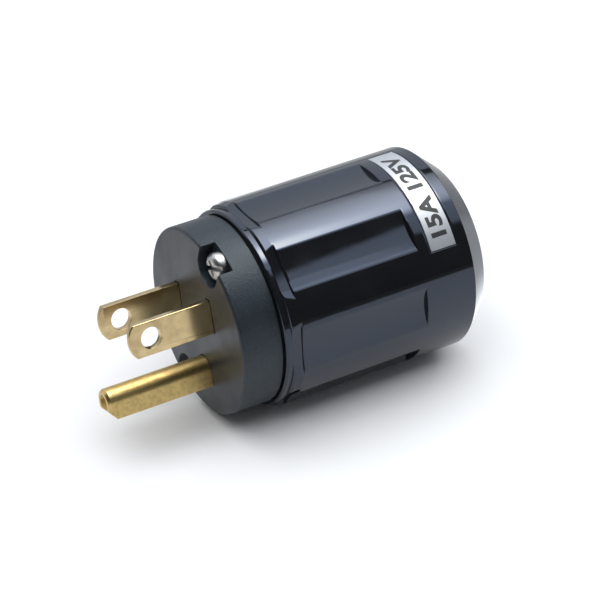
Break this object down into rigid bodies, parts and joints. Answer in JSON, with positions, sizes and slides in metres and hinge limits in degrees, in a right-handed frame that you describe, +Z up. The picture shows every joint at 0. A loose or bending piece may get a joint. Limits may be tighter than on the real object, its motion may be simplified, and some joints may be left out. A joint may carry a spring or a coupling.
{
  "type": "power plug",
  "caption": "Rewireable three-contact mains plug: folded and flat brass contacts in a matte carrier, screwed to a glossy round housing with grip flats, nameplate and cord clamp.",
  "frame": {"origin": "centre of the mating face, on the axis of the round body", "axes": "+X from the mating face back to the cable entry, so the contacts point along -X; +Z up, with the plug lying on one of its grip flats; -Y is the side that the picture shows"},
  "size_m": [0.0724, 0.0388, 0.0388],
  "materials": {
    "carrier_plastic": "fine moulded grain, dark grey",
    "block_plastic": "plain moulding, dark grey",
    "housing_gloss": "polished moulding, black",
    "jaw_plastic": "plain moulding, black",
    "contact_brass": "satin, rounded edges",
    "fitting_brass": "turned brass",
    "screw_nickel": "bright nickel plate",
    "ground_green": "green marking on steel",
    "nameplate_silver": "bright silver, brushed along the arc"
  },
  "bodies": {
    "root": {"front_carrier": "carrier_plastic", "wiring_block": "block_plastic", "live_blade": "contact_brass", "neutral_blade": "contact_brass", "ground_pin": "contact_brass", "live_clamp_plate": "screw_nickel", "neutral_clamp_plate": "screw_nickel", "ground_clamp_plate": "screw_nickel", "live_terminal_screw": "fitting_brass", "neutral_terminal_screw": "screw_nickel", "ground_terminal_screw": "ground_green", "upper_assembly_screw": "screw_nickel", "lower_assembly_screw": "screw_nickel", "upper_insert": "fitting_brass", "lower_insert": "fitting_brass", "housing_shell": "housing_gloss", "nameplate": "nameplate_silver", "cord_jaw_seated": "jaw_plastic", "cord_jaw_drawn": "jaw_plastic", "cord_screw_upper": "screw_nickel", "cord_screw_lower": "screw_nickel", "cord_nut_upper": "screw_nickel", "cord_nut_lower": "screw_nickel"}
  },
  "joints": []
}
